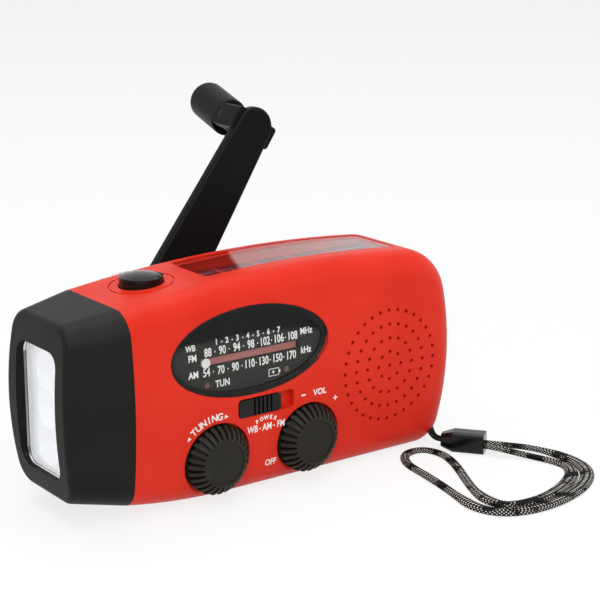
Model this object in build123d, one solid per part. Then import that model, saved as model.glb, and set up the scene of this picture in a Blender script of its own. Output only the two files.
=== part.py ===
from build123d import *
import os
from math import cos, pi, radians, sin, sqrt, tan

# Hand-crank solar emergency radio, in millimetres.
# X runs along the radio (lamp at -X, strap at +X), the dial faces -Y, +Z is up.
# The origin is on the surface it stands on, under the middle of the case.

os.makedirs("parts", exist_ok=True)

# case
end_x = 64.0            # strap end of the case
lamp_end_x = -61.0
seam_x = -43.5          # joint between the red case and the lamp head
half_depth = 20.5       # front and back at mid height
mid_z = 30.0
height = 60.0
top_radius = 380.0      # gentle dome of the top, seen from the front
top_peak_x = 14.0
belly_radius = 160.0    # rise of the underside towards the lamp
flat_start_x = -12.0     # the underside is flat from here to the right
front_bulge = 150.0     # radius of the slightly convex front
back_bulge = 110.0
edge_radius = 7.5
wall = 2.0
parting_y = 11.8        # front and rear shells meet here
parting_gap = 0.15      # fine line seen between them

# lamp head
head_tip_half = 15.8
head_tip_edge = 6.5
head_wall = 2.2
lamp_half_width = 10.5
lamp_low, lamp_high = 12.0, 46.0
lamp_pitch = 10.4
well_depth = 4.0

# front controls
dial_x, dial_z = -7.6, 40.4
dial_width, dial_height = 50.2, 24.0
slot_z, slot_height = 39.0, 2.2
tuning_x, volume_x, knob_z = -18.5, 11.0, 12.3
knob_radius, knob_disc_radius = 9.5, 6.5
knob_ribs = 28
knob_rim_height = 3.2
knob_back_y, knob_front_y = -17.7, -23.6
recess_floor_y = -17.4
shaft_radius = 3.0
drum_radius = 5.45
cord_y = -13.1            # plane of the dial cord
dial_plate_y = -18.1     # front of the dial plate at the slot
dial_plate_depth, dial_plate_thick = 2.1, 0.8
tuning_turn = 300.0     # degrees from stop to stop
slot_left, slot_end_gap = -22.7, 1.45
slot_right = slot_left + 2 * slot_end_gap + drum_radius * radians(tuning_turn)
switch_z, switch_left, switch_right, switch_height = 25.0, -12.3, 5.7, 5.2
slider_length = 13.7

# loudspeaker
speaker_x, speaker_z = 38.9, 28.0
hole_pitch, hole_radius, hole_rings = 3.95, 0.55, 4
speaker_radius = 18.0

# top
button_x, button_y, button_radius = -28.4, 0.7, 5.9
cover_hinge_x, cover_hinge_y = end_x - 0.9, 6.1
solar_left, solar_right, solar_front, solar_back = -14.0, 50.5, -8.3, 10.0

# crank and gears
hub_x, hub_z = -16.8, 32.6
crank_lean = 34.2       # degrees from upright, towards +X
arm_near_y, arm_thick = 21.4, 3.4
arm_length, arm_hub_half, arm_tip_half = 70.5, 9.5, 6.0
grip_radius, grip_end = 5.6, 23.0
grip_tilt = 15.0        # the open grip leans this much towards the arm's tip
crank_shaft_radius = 2.5
running = 0.06          # radial clearance of a turning part
pressed = 0.02          # of a part fitted tight
drive_teeth, pinion_teeth, module_one = 48, 14, 0.6
wheel_one_teeth, wheel_two_teeth, rotor_teeth, module_two = 36, 30, 12, 0.5
gear_angles = (-40.0, 55.0, 85.0)

# aerial
aerial_y, aerial_z, aerial_radius = 16.0, 54.8, 2.1
aerial_pivot_x = -24.5
aerial_tip_x = 51.0
aerial_seat_x = aerial_pivot_x - 3.2
aerial_pin_radius = 0.6

# strap, lying on the surface the radio stands on
ribbon_radius = 1.2
string_radius = 0.55
strap_pin_x, strap_pin_y, strap_pin_radius = 58.9, -3.0, 0.88
clip_middle = (60.6, -27.8, 3.15)
clip_long, clip_wide, clip_tall = 12.6, 5.8, 6.0
clip_heading = -52.0

# boards and plates inside
board_front_y, board_back_y = -7.6, -6.0
board_posts = [(-32.5, 20.0), (-4.0, 8.0), (-34.0, 41.0), (12.5, 49.4)]
board_post_radius = 2.2
led_places = [(-20.8, 32.8), (4.7, 32.8)]
guide_places = (slot_left - 4.0, slot_right + 4.0)
plate_front_y, plate_back_y = 5.0, 7.0
plate_posts = [(-30.0, 12.5), (12.5, 12.0), (-12.5, 50.0)]
axle_radius = 1.0
thread_radius = 0.8     # small screws
case_thread_radius = 1.2
fit_gap = 0.15          # between parts that do not move on each other


def save(name, *solids):
    shape = solids[0] if len(solids) == 1 else Compound(list(solids))
    export_step(shape, f"parts/{name}.step")


def block(x0, x1, y0, y1, z0, z1):
    return Pos((x0 + x1) / 2, (y0 + y1) / 2, (z0 + z1) / 2) * Box(x1 - x0, y1 - y0, z1 - z0)


def rod_x(y, z, radius, x0, x1):
    return Pos((x0 + x1) / 2, y, z) * Rot(0, 90, 0) * Cylinder(radius, x1 - x0)


def rod_y(x, z, radius, y0, y1):
    return Pos(x, (y0 + y1) / 2, z) * Rot(90, 0, 0) * Cylinder(radius, y1 - y0)


def rod_z(x, y, radius, z0, z1):
    return Pos(x, y, (z0 + z1) / 2) * Cylinder(radius, z1 - z0)


def tube_y(x, z, outer, inner, y0, y1):
    return rod_y(x, z, outer, y0, y1) - rod_y(x, z, inner, y0 - 1, y1 + 1)


def prism_y(sketch, y0, y1):
    # sketch drawn in X and Z, made solid from y0 to y1
    return Pos(0, y1, 0) * extrude(Plane.XZ * sketch, amount=y1 - y0)


def top_at(x):
    return height - (top_radius - sqrt(top_radius**2 - (x - top_peak_x) ** 2))


def bottom_at(x):
    return belly_radius - sqrt(belly_radius**2 - min(x - flat_start_x, 0) ** 2)


def back_at(z, inset=0.0):
    return half_depth - back_bulge + sqrt((back_bulge - inset) ** 2 - (z - mid_z) ** 2)


def front_skin(outer, inner):
    # a layer of the convex front, between two depths below its surface
    axis = Pos(0, front_bulge - half_depth, mid_z) * Rot(0, 90, 0)
    return axis * Cylinder(front_bulge - outer, 160) - axis * Cylinder(front_bulge - inner, 161)


def back_skin(outer, inner):
    axis = Pos(0, half_depth - back_bulge, mid_z) * Rot(0, 90, 0)
    return axis * Cylinder(back_bulge - outer, 160) - axis * Cylinder(back_bulge - inner, 161)


def top_skin(outer, inner):
    axis = Pos(top_peak_x, 0, height - top_radius) * Rot(90, 0, 0)
    return axis * Cylinder(top_radius - outer, 60) - axis * Cylinder(top_radius - inner, 61)


def front_outline(inset):
    # the case seen from the front, run past the seam on the lamp side
    left = -58.0
    bend = (left + flat_start_x) / 2
    with BuildSketch() as sketch:
        with BuildLine():
            belly = ThreePointArc((left, bottom_at(left)), (bend, bottom_at(bend)), (flat_start_x, 0))
            base = Line(belly @ 1, (60.6, 0))
            end = ThreePointArc(base @ 1, (end_x, 33), (60.8, top_at(60.8)))
            peak = ThreePointArc(end @ 1, (top_peak_x, height), (left, top_at(left)))
            Line(peak @ 1, belly @ 0)
        make_face()
        corners = sketch.vertices().filter_by_position(Axis.X, 50, 80).sort_by(Axis.Y)
        fillet(corners[0], 9)
        fillet(sketch.vertices().filter_by_position(Axis.X, 50, 80).sort_by(Axis.Y)[-1], 14)
        if inset > 0:
            offset(amount=-inset)
    return sketch.sketch


def end_outline(inset):
    # the case seen from its end: convex front and back
    with BuildSketch() as sketch:
        with Locations((front_bulge - half_depth, mid_z)):
            Circle(front_bulge - inset)
        with Locations((half_depth - back_bulge, mid_z)):
            Circle(back_bulge - inset, mode=Mode.INTERSECT)
        with Locations((0, mid_z)):
            Rectangle(80, 90, mode=Mode.INTERSECT)
    return sketch.sketch


def case_form(inset, past_seam=0.0):
    slab = extrude(Plane.XZ * front_outline(inset), amount=40, both=True)
    bar = extrude(Plane.YZ * end_outline(inset), amount=90, both=True)
    form = slab & bar
    rim = [e for e in form.edges() if abs(e.center().Y) > 9 and e.center().X > -57 + inset]
    form = fillet(rim, edge_radius - inset)
    return form & block(seam_x - past_seam, 80, -40, 40, -10, 80)


def head_section(x, half, edge, top, bottom, inset):
    with BuildSketch() as sketch:
        with Locations((front_bulge - half, mid_z)):
            Circle(front_bulge - inset)
        with Locations((half - back_bulge, mid_z)):
            Circle(back_bulge - inset, mode=Mode.INTERSECT)
        with Locations((0, (top + bottom) / 2)):
            Rectangle(80, top - bottom - 2 * inset, mode=Mode.INTERSECT)
        fillet(sketch.vertices(), edge - inset)
    return Pos(x, 0, 0) * (Plane.YZ * sketch.sketch)


def head_form(inset):
    seam_slope_top = (top_at(seam_x) - top_at(seam_x - 1))
    seam_slope_low = (bottom_at(seam_x - 1) - bottom_at(seam_x))
    reach = seam_x - lamp_end_x
    seam = head_section(seam_x, half_depth, edge_radius, top_at(seam_x), bottom_at(seam_x), inset)
    tip = head_section(lamp_end_x, head_tip_half, head_tip_edge, top_at(seam_x) - seam_slope_top * reach,
                       bottom_at(seam_x) + seam_slope_low * reach, inset)
    form = loft([seam, tip], ruled=True)
    nose = Pos(130 + lamp_end_x + inset, 0, mid_z) * Rot(90, 0, 0) * Cylinder(130, 80)
    return form & nose


case = case_form(0)
case_inside = case_form(wall, 1.0)


def screw(x, z, head_y, tip_y, radius, head_radius):
    # pan head with a cross recess; the shank points to tip_y
    way = 1 if head_y > tip_y else -1
    low, high = sorted((tip_y, head_y))
    body = rod_y(x, z, radius, low, high)
    cap_low, cap_high = sorted((head_y, head_y + way * 1.2))
    head = rod_y(x, z, head_radius, cap_low, cap_high)
    slot_low, slot_high = sorted((head_y + way * 0.7, head_y + way * 2))
    cross = block(x - 1.2, x + 1.2, slot_low, slot_high, z - 0.25, z + 0.25)
    cross += block(x - 0.25, x + 0.25, slot_low, slot_high, z - 1.2, z + 1.2)
    return body + head - cross


def gear(teeth, module, x, z, y0, y1, phase, bore):
    # straight-sided teeth with backlash; tooth 0 points at the phase angle
    pitch_radius = module * teeth / 2
    step = 2 * pi / teeth
    points = []
    for tooth in range(teeth):
        angle = radians(phase) + tooth * step
        for share, radius in ((-0.30, pitch_radius - 1.25 * module), (-0.10, pitch_radius + 0.85 * module),
                              (0.10, pitch_radius + 0.85 * module), (0.30, pitch_radius - 1.25 * module)):
            points.append((x + radius * cos(angle + share * step), z + radius * sin(angle + share * step)))
    face = make_face(Polyline(*points, close=True))
    wheel = prism_y(face, y0, y1)
    return wheel - rod_y(x, z, bore, y0 - 1, y1 + 1) if bore else wheel


def grille_holes():
    holes = [(speaker_x, speaker_z)]
    for ring in range(1, hole_rings + 1):
        count = 8 * ring
        for step in range(count):
            angle = 2 * pi * step / count
            out = ring * hole_pitch
            holes.append((speaker_x + out * cos(angle), speaker_z + out * sin(angle)))
    return holes


def rounded(width, tall, radius):
    return RectangleRounded(width, tall, radius)


def case_screw_places():
    return [(-37.5, 48.0), (-37.5, 11.5), (57.0, 44.0), (56.5, 10.5)]


# front shell
def make_front_shell():
    keep = block(-80, 80, -40, parting_y, -10, 80)
    shell = (case - case_inside) & keep
    extras = []
    for x in (tuning_x, volume_x):
        extras.append(rod_y(x, knob_z, 12.0, -18.8, recess_floor_y + 1.7))
    for x, z in case_screw_places():
        extras.append(rod_y(x, z, 2.8, -18.6, parting_y))
    extras.append(tube_y(speaker_x, speaker_z, 19.6, 18.2, -18.6, -14.0))
    switch_mid = (switch_left + switch_right) / 2
    extras.append(switch_boss(0))
    # shelf for the torch switch, and the frame that holds the solar cell
    shelf = block(button_x - 5, button_x + 5, -18.5, 4.6, 45.6, 47.4)
    extras.append(shelf - dial_plate_form(fit_gap))
    frame = block(solar_left - 1.5, solar_right + 1.5, solar_front - 1.5, solar_back + 1.5, 52.6, 59.0)
    frame -= block(solar_left + 1.5, solar_right - 1.5, solar_front + 1.2, solar_back - 1.2, 50, 62)
    frame -= block(solar_left + 0.5, solar_right - 0.5, solar_front + 0.4, solar_back - 0.4, 53.8, 62)
    extras.append(frame)
    # strap eye: a block in the lower right corner with a cavity round the pin
    extras.append(block(53.5, 63.5, -9.0, 3.0, 0.6, 11.6))
    # pad behind the socket cover
    extras.append(block(58.6, 63.5, -7.0, 8.0, 20.5, 43.5))
    for x, z in board_posts:
        extras.append(rod_y(x, z, board_post_radius, -18.6, board_front_y))
    for extra in extras:
        shell += extra & case
    # cuts
    oval = Pos(dial_x, dial_z) * Ellipse(dial_width / 2, dial_height / 2)
    shell -= prism_y(oval, -30, 0) & front_skin(-1, 1.4)
    sight = Pos(dial_x, dial_z) * Ellipse(dial_width / 2 - 1.2, dial_height / 2 - 1.2)
    shell -= prism_y(sight, -30, -15)
    for x in (tuning_x, volume_x):
        shell -= rod_y(x, knob_z, knob_radius + 0.7, -30, recess_floor_y)
        shell -= rod_y(x, knob_z, shaft_radius + 0.3, -30, -14)
    tray = Pos(switch_mid, switch_z) * rounded(switch_right - switch_left, switch_height, 1.1)
    shell -= prism_y(tray, -30, -18.4)
    shell -= block(switch_left + 0.5, switch_left + 9.3, -30, -15, switch_z - 0.9, switch_z + 0.9)
    for x, z in grille_holes():
        shell -= rod_y(x, z, hole_radius, -25, -15)
    shell -= rod_z(button_x, button_y, button_radius + 0.25, 52, 70)
    ring = rod_z(button_x, button_y, 8.85, 50, 70) - rod_z(button_x, button_y, 8.35, 49, 71)
    shell -= ring & top_skin(-1, 0.4)
    glass = block(solar_left, solar_right, solar_front, solar_back, 50, 70)
    glass = fillet(glass.edges().filter_by(Axis.Z), 1.5)
    shell -= glass & top_skin(-1, 1.7)
    shell -= block(solar_left + 0.5, solar_right - 0.5, solar_front + 0.4, solar_back - 0.4, 53.8, 55.1)
    shell -= block(solar_left + 1.2, solar_right - 1.2, solar_front + 1.1, solar_back - 1.1, 54, 70)
    for x, z in case_screw_places():
        shell -= rod_y(x, z, case_thread_radius + 0.05, -8, 20)
    for x, z in board_posts:
        shell -= rod_y(x, z, thread_radius + 0.05, board_back_y - 8, board_back_y)
    # eye pocket, open to the outside, with the seat of its pin
    shell -= block(56.0, 70.0, -7.0, 1.0, 4.2, 8.0)
    shell -= rod_z(strap_pin_x, strap_pin_y, strap_pin_radius + pressed, 2.4, 10.0)
    # socket cover recess and the two socket mouths
    shell -= cover_room(0.2)
    shell -= block(56.0, 70.0, -4.2, 2.4, 25.2, 38.8)
    return shell


def dial_plate_form(grow):
    # oval plate that follows the convex front, just behind its wall
    oval = Pos(dial_x, dial_z) * Ellipse(dial_width / 2 + 0.8 + grow, dial_height / 2 + 0.4 + grow)
    back = dial_plate_depth + dial_plate_thick + grow
    return prism_y(oval, -30, 0) & front_skin(dial_plate_depth - grow, back)


def switch_boss(grow):
    return block(switch_left - 1.6 - grow, switch_right + 1.6 + grow, -19.0, -16.8 + grow,
                 switch_z - 4.2 - grow, switch_z + 4.2 + grow)


def cover_room(gap):
    room = block(50, 80, -6.0 - gap, 6.0 + 6 * gap, 22.0 - gap, 42.0 + gap)
    band = case - case_form(1.5 + gap)
    return band & room


def make_rear_shell():
    keep = block(-80, 80, parting_y + parting_gap, 40, -10, 80)
    shell = (case - case_inside) & keep
    extras = [block(-39.6, 64, parting_y + parting_gap, 19.5, 51.2, 60)]
    for x, z in case_screw_places():
        extras.append(rod_y(x, z, 3.6, parting_y, 19.5))
    for x, z in plate_posts:
        extras.append(rod_y(x, z, 2.5, 7.0, 19.0))
    chute = block(17.6, 52.4, 14.05, 19.5, 5.0, 50.4) - block(18.9, 51.1, 10, 25, 6.3, 49.1)
    extras.append(chute)
    extras.append(rod_y(hub_x, hub_z, 6.5, 16.6, 20))
    for x, z in gear_centres()[1:3]:
        extras.append(tube_y(x, z, 2.4, 1.02, 16.6, 19.5))
    for extra in extras:
        shell += extra & case
    shell += rod_x(aerial_y, aerial_z, 2.7, aerial_seat_x - 4.8, aerial_seat_x) & case
    # notch for the aerial, open at its right end
    room = aerial_radius + 0.25
    shell -= block(aerial_seat_x, 80, aerial_y - room, 40, aerial_z - room, 80)
    shell -= rod_x(aerial_y, aerial_z, 1.45, aerial_seat_x - 4.0, aerial_seat_x + 1)
    shell -= rod_y(hub_x, hub_z, 4.0, 15, 25)
    for x, z in case_screw_places():
        shell -= rod_y(x, z, case_thread_radius + 0.25, 0, 30)
        shell -= rod_y(x, z, 2.6, 15.0, 30)
    for x, z in plate_posts:
        shell -= rod_y(x, z, thread_radius + 0.05, 0, 15.5)
    door = Pos(35.0, 27.0) * rounded(32.4, 42.4, 1.5)
    shell -= prism_y(door, 10, 30) & back_skin(-1, 1.9)
    inner_door = Pos(35.0, 27.0) * rounded(29.0, 39.0, 1.0)
    shell -= prism_y(inner_door, 10, 30)
    # fingernail notch beside the door
    shell -= rod_y(52.6, 27.0, 2.2, back_at(27) - 1.0, 30)
    return shell


def gear_centres():
    centres = [(hub_x, hub_z)]
    reaches = (module_one * (drive_teeth + pinion_teeth) / 2,
               module_two * (wheel_one_teeth + pinion_teeth) / 2,
               module_two * (wheel_two_teeth + rotor_teeth) / 2)
    for reach, angle in zip(reaches, gear_angles):
        x, z = centres[-1]
        centres.append((x + reach * cos(radians(angle)), z + reach * sin(radians(angle))))
    return centres


def make_lamp_head():
    form = head_form(0)
    form = fillet(form.faces().sort_by(Axis.X)[0].edges(), 2.0)
    hollow = head_form(head_wall) & block(-80, seam_x - 2.5, -40, 40, -10, 80)
    mouth = case_form(3.7, 3.5) & block(-50, seam_x, -40, 40, -10, 80)
    head = form - hollow - mouth
    # spigot that slips into the red case
    spigot = case_form(wall + 0.12, 1.2) - case_form(3.7, 3.5)
    spigot &= block(seam_x - 1, seam_x + 3.5, -40, 40, -10, 80)
    for x, z in case_screw_places()[:2]:
        spigot -= rod_y(x, z, 3.9, -30, 30)
    head += spigot
    height_mid = (lamp_low + lamp_high) / 2
    tall = lamp_high - lamp_low
    mouth = Plane.YZ * rounded(2 * lamp_half_width + 3.0, tall + 3.0, 5.2)
    tunnel = Pos(lamp_end_x + 4, 0, height_mid) * mouth
    head += extrude(tunnel, amount=4.5, both=True) & form
    opening = Pos(lamp_end_x + 4, 0, height_mid) * (Plane.YZ * rounded(2 * lamp_half_width, tall, 4.0))
    return head - extrude(opening, amount=12, both=True)


def lamp_centres():
    middle = (lamp_low + lamp_high) / 2
    return [middle + step * lamp_pitch for step in (-1, 0, 1)]


def make_lamp():
    middle = (lamp_low + lamp_high) / 2
    tall = lamp_high - lamp_low
    face = Plane.YZ * rounded(2 * lamp_half_width - 0.2, tall - 0.2, 3.9)
    lens = Pos(lamp_end_x + well_depth - 0.8, 0, middle) * face
    save("lamp_lens", extrude(lens, amount=-0.6, both=True))
    face = Plane.YZ * rounded(2 * lamp_half_width - 0.3, tall - 0.3, 3.8)
    body = Pos(lamp_end_x + well_depth + 5.0, 0, middle) * face
    body = extrude(body, amount=5.0, both=True)
    face_x = lamp_end_x + well_depth - 0.1
    bulbs = []
    for z in lamp_centres():
        with BuildSketch(Plane.XY) as half:
            with BuildLine():
                Polyline((face_x, 0), (face_x, 5.05), (face_x + 0.2, 5.05))
                ThreePointArc((face_x + 0.2, 5.05), (face_x + 5.0, 4.1), (face_x + 8.0, 2.6))
                Polyline((face_x + 8.0, 2.6), (face_x + 10.4, 2.6), (face_x + 10.4, 0), (face_x, 0))
            make_face()
        cup = revolve(half.sketch, Axis.X)
        body -= Pos(0, 0, z) * cup
        bulb = rod_x(0, z, 2.5, face_x + 5.6, face_x + 10.1)
        bulb += Pos(face_x + 5.6, 0, z) * Sphere(2.5)
        bulbs.append(bulb)
    save("reflector", body)
    save("lamp_leds", *bulbs)
    board = block(face_x + 10.15, face_x + 11.4, -11.0, 11.0, lamp_low + 1, lamp_high - 1)
    save("lamp_board", board)


def knob_envelope():
    # low rim, then a slope up to the raised centre disc
    top = knob_back_y - knob_front_y
    with BuildSketch(Plane.XY) as half:
        with BuildLine():
            Polyline((0, 0), (knob_radius, 0), (knob_radius, knob_rim_height - 0.6),
                     (knob_radius - 0.5, knob_rim_height))
            ThreePointArc((knob_radius - 0.5, knob_rim_height), (knob_radius - 1.6, top - 1.1),
                          (knob_disc_radius, top - 0.1))
            Polyline((knob_disc_radius, top - 0.1), (knob_disc_radius - 0.2, top), (0, top), (0, 0))
        make_face()
    return revolve(half.sketch, Axis.Y)


def make_knob(name, x):
    # built with its axis along +Y from its back face, then turned to face -Y
    top = knob_back_y - knob_front_y
    upright = Rot(-90, 0, 0)
    core = upright * Pos(0, 0, knob_rim_height / 2 - 0.5) * Cylinder(knob_radius - 1.1, knob_rim_height - 1.0)
    core += upright * Pos(0, 0, 0.5) * Cylinder(knob_radius, 1.0)
    rise = top - 0.9 - (knob_rim_height - 1.0)
    core += upright * Pos(0, 0, top - 0.9 - rise / 2) * Cone(knob_radius - 1.1, knob_disc_radius - 0.2, rise)
    core += upright * Pos(0, 0, top / 2) * Cylinder(knob_disc_radius, top)
    bar_long = knob_radius - knob_disc_radius + 0.8
    for rib in range(knob_ribs):
        bar = Pos(knob_radius - bar_long / 2 + 0.1, top / 2, 0) * Box(bar_long, top, 0.95)
        core += Rot(0, 360 * rib / knob_ribs, 0) * bar
    body = core & knob_envelope()
    body -= upright * Pos(0, 0, top) * Cylinder(knob_disc_radius - 0.8, 0.5)
    body -= upright * Pos(0, 0, 1.5) * Cylinder(shaft_radius + pressed, 3.4)
    save(name, Pos(x, knob_back_y, knob_z) * Rot(0, 0, 180) * body)


def make_controls():
    make_knob("tuning_knob", tuning_x)
    make_knob("volume_knob", volume_x)
    shaft = rod_y(tuning_x, knob_z, shaft_radius, knob_back_y - 3.0, cord_y - 0.6)
    shaft += rod_y(tuning_x, knob_z, drum_radius + 0.8, cord_y - 1.1, cord_y - 0.5)
    shaft += rod_y(tuning_x, knob_z, drum_radius, cord_y - 0.5, cord_y + 0.5)
    shaft += rod_y(tuning_x, knob_z, drum_radius + 0.8, cord_y + 0.5, cord_y + 1.0)
    save("tuning_shaft", shaft)
    capacitor = block(tuning_x - 8, tuning_x + 8, -11.8, board_front_y, knob_z - 8, knob_z + 8)
    for y in (-11.0, -10.0, -9.0):
        capacitor -= block(tuning_x - 9, tuning_x + 9, y, y + 0.3, knob_z - 8.5, knob_z - 7.2)
    save("tuning_capacitor", capacitor)
    shaft = rod_y(volume_x, knob_z, shaft_radius, knob_back_y - 3.0, -13.3)
    save("volume_shaft", shaft)
    pot = rod_y(volume_x, knob_z, 8.0, -13.0, board_front_y)
    pot += block(volume_x - 5, volume_x + 5, -11.0, board_front_y, knob_z - 9.5, knob_z)
    save("volume_pot", pot)
    thumb_z0, thumb_z1 = switch_z - 2.35, switch_z + 2.35
    slider_left, slider_right = switch_left + 0.15, switch_left + slider_length - 0.15
    slider = block(slider_left, slider_right, -20.7, -18.6, thumb_z0, thumb_z1)
    slider = fillet(slider.edges().filter_by(Axis.Y), 1.0)
    for step in range(5):
        x = switch_left + 4.7 + step * 1.35
        slider -= block(x, x + 0.6, -22, -20.2, thumb_z0 - 1, thumb_z1 + 1)
    slider += block(switch_left + 0.8, switch_left + 4.6, -18.7, -12.9, switch_z - 0.7, switch_z + 0.7)
    save("band_slider", slider)
    body = block(switch_left + 0.5, switch_right - 0.5, -12.5, board_front_y, switch_z - 3.4, switch_z + 3.4)
    save("band_switch", body)


def dial_cord_face(shift):
    rollers = [(tuning_x, knob_z, drum_radius)]
    rollers += [(x, slot_z - 1.5, 1.5) for x in guide_places]
    edges = []
    for x, z, radius in rollers:
        edges += (Pos(x, z) * Circle(radius + shift)).edges()
    return make_hull(edges)


def make_dial():
    oval = Pos(dial_x, dial_z) * Ellipse(dial_width / 2 - 0.15, dial_height / 2 - 0.15)
    save("dial_window", prism_y(oval, -30, 0) & front_skin(0.1, 1.35))
    plate = dial_plate_form(0) - switch_boss(fit_gap)
    plate -= block(slot_left, slot_right, -20, -14, slot_z - slot_height / 2, slot_z + slot_height / 2)
    for x, z in board_posts:
        plate -= rod_y(x, z, board_post_radius + fit_gap, -20, -14)
    for x, z in led_places:
        plate -= rod_y(x, z, 0.8, -20, -14)
    for x in guide_places:
        plate += rod_y(x, slot_z - 1.5, 1.42, dial_plate_y + 0.5, cord_y + 0.7)
    save("dial_plate", plate)
    cord = prism_y(dial_cord_face(0.55), cord_y - 0.25, cord_y + 0.25)
    save("dial_cord", cord - prism_y(dial_cord_face(0.04), cord_y - 2, cord_y + 2))
    pointer_x = slot_left + slot_end_gap
    pointer = rod_y(pointer_x, slot_z, 1.3, dial_plate_y - 0.6, dial_plate_y - 0.2)
    pointer += rod_y(pointer_x, slot_z, 0.6, dial_plate_y - 0.3, dial_plate_y + 2.3)
    pointer += block(pointer_x - 1.6, pointer_x + 1.6, dial_plate_y + 2.2, cord_y - 0.4,
                     slot_z - 2.4, slot_z + 2.4)
    save("dial_pointer", pointer)
    lamps = []
    for x, z in led_places:
        lamps.append(rod_y(x, z, 0.75, dial_plate_y - 0.3, dial_plate_y + 1.4)
                     + rod_y(x, z, 1.2, dial_plate_y + 1.1, board_front_y))
    save("indicator_leds", *lamps)


def make_board():
    board = block(-34.5, 17.4, board_front_y, board_back_y, 5.4, 45.2)
    board = fillet(board.edges().filter_by(Axis.Y), 2)
    for x, z in board_posts[2:]:
        board += block(x - 2.8, x + 2.8, board_front_y, board_back_y, z - 5.6, z + 2.8)
    seats = [rod_y(x, z, 1.1, board_front_y - 1, board_back_y + 1) for x, z in board_posts]
    for seat in seats:
        board -= seat
    chips = [(-14.0, 34.0, 7.0, 5.0), (-1.0, 13.2, 9.0, 4.5), (9.0, 33.0, 5.0, 8.0), (-24.0, 30.0, 4.0, 4.0)]
    for x, z, wide, tall in chips:
        board += block(x - wide / 2, x + wide / 2, board_back_y - 0.01, board_back_y + 1.0,
                       z - tall / 2, z + tall / 2)
    save("main_board", board)
    screws = [screw(x, z, board_back_y, board_back_y - 6.5, thread_radius, 1.9) for x, z in board_posts]
    screws += [screw(x, z, plate_front_y, 12.0, thread_radius, 1.9) for x, z in plate_posts]
    save("inner_screws", *screws)


def make_speaker():
    with BuildSketch(Plane.XY) as half:
        with BuildLine():
            Polyline((14.2, -17.0), (speaker_radius, -17.0), (speaker_radius, -15.6), (16.4, -15.6),
                     (9.6, -9.0), (9.6, -8.2), (7.0, -8.2), (7.0, -9.4), (8.6, -9.6), (14.2, -15.2), close=True)
        make_face()
    save("speaker_frame", Pos(speaker_x, 0, speaker_z) * revolve(half.sketch, Axis.Y))
    save("speaker_magnet", rod_y(speaker_x, speaker_z, 9.6, -8.2, -5.4))
    with BuildSketch(Plane.XY) as half:
        with BuildLine():
            Polyline((0, -13.2), (4.4, -11.4), (13.9, -16.6), (14.1, -16.2), (5.0, -10.2), (5.0, -8.3),
                     (4.2, -8.3), (4.2, -10.8), (0, -12.6), close=True)
        make_face()
    save("speaker_cone", Pos(speaker_x, 0, speaker_z) * revolve(half.sketch, Axis.Y))


def make_top():
    cap = rod_z(button_x, button_y, button_radius, 54.4, 61.0)
    dome = Pos(button_x, button_y, 60.6 - 17.0) * Sphere(17.0)
    button = cap & dome
    button += rod_z(button_x, button_y, 7.6, 53.6, 54.6)
    button += rod_z(button_x, button_y, 1.6, 52.6, 54.0)
    save("torch_button", button)
    switch = block(button_x - 3, button_x + 3, button_y - 3, button_y + 3, 47.4, 50.2)
    switch += rod_z(button_x, button_y, 1.7, 50.0, 51.0)
    save("torch_switch", switch)
    glass = block(solar_left + 0.12, solar_right - 0.12, solar_front + 0.12, solar_back - 0.12, 50, 70)
    glass = fillet(glass.edges().filter_by(Axis.Z), 1.4)
    save("solar_window", glass & top_skin(0.15, 1.65))
    cell = block(solar_left + 0.7, solar_right - 0.7, solar_front + 0.6, solar_back - 0.6, 53.85, 55.0)
    save("solar_cell", cell)
    save("ferrite_rod", rod_x(-3.0, 48.6, 3.6, 18.0, 50.0))
    coil = rod_x(-3.0, 48.6, 4.2, 24.0, 38.0) - rod_x(-3.0, 48.6, 3.62, 20, 40)
    save("aerial_coil", coil)


def make_power():
    tray = block(17.6, 52.4, 1.2, 14.0, 4.4, 50.8) - block(18.6, 51.4, 2.2, 16, 5.2, 50.0)
    # cradles under the ferrite rod and stubs that stand on the magnet
    tray += rod_y(speaker_x, speaker_z, 4.0, -5.4, 1.3)
    for x in (18.5, 42.0):
        tray += block(x, x + 3.0, -6.6, 1.3, 42.0, 46.6) - rod_x(-3.0, 48.6, 3.65, x - 1, x + 4)
    save("battery_tray", tray)
    cells = []
    contacts = []
    for x in (24.2, 35.0, 45.8):
        cell = rod_z(x, 7.9, 5.2, 6.1, 47.9) + rod_z(x, 7.9, 1.9, 47.9, 48.9)
        cells.append(cell)
        contacts.append(block(x - 4, x + 4, 4, 12, 5.2, 5.6) + rod_z(x, 7.9, 1.6, 5.6, 6.1))
        contacts.append(block(x - 4, x + 4, 4, 12, 48.9, 49.3))
    save("battery_cells", *cells)
    save("battery_contacts", *contacts)
    plate = Pos(35.0, 27.0) * rounded(32.0, 42.0, 1.4)
    door = prism_y(plate, 10, 30) & back_skin(0.05, 1.85)
    for step in range(5):
        z = 22.0 + 2.5 * step
        door -= block(45.0, 49.0, back_at(z, 0.5), 30, z, z + 1.2)
    save("battery_door", door)


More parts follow.
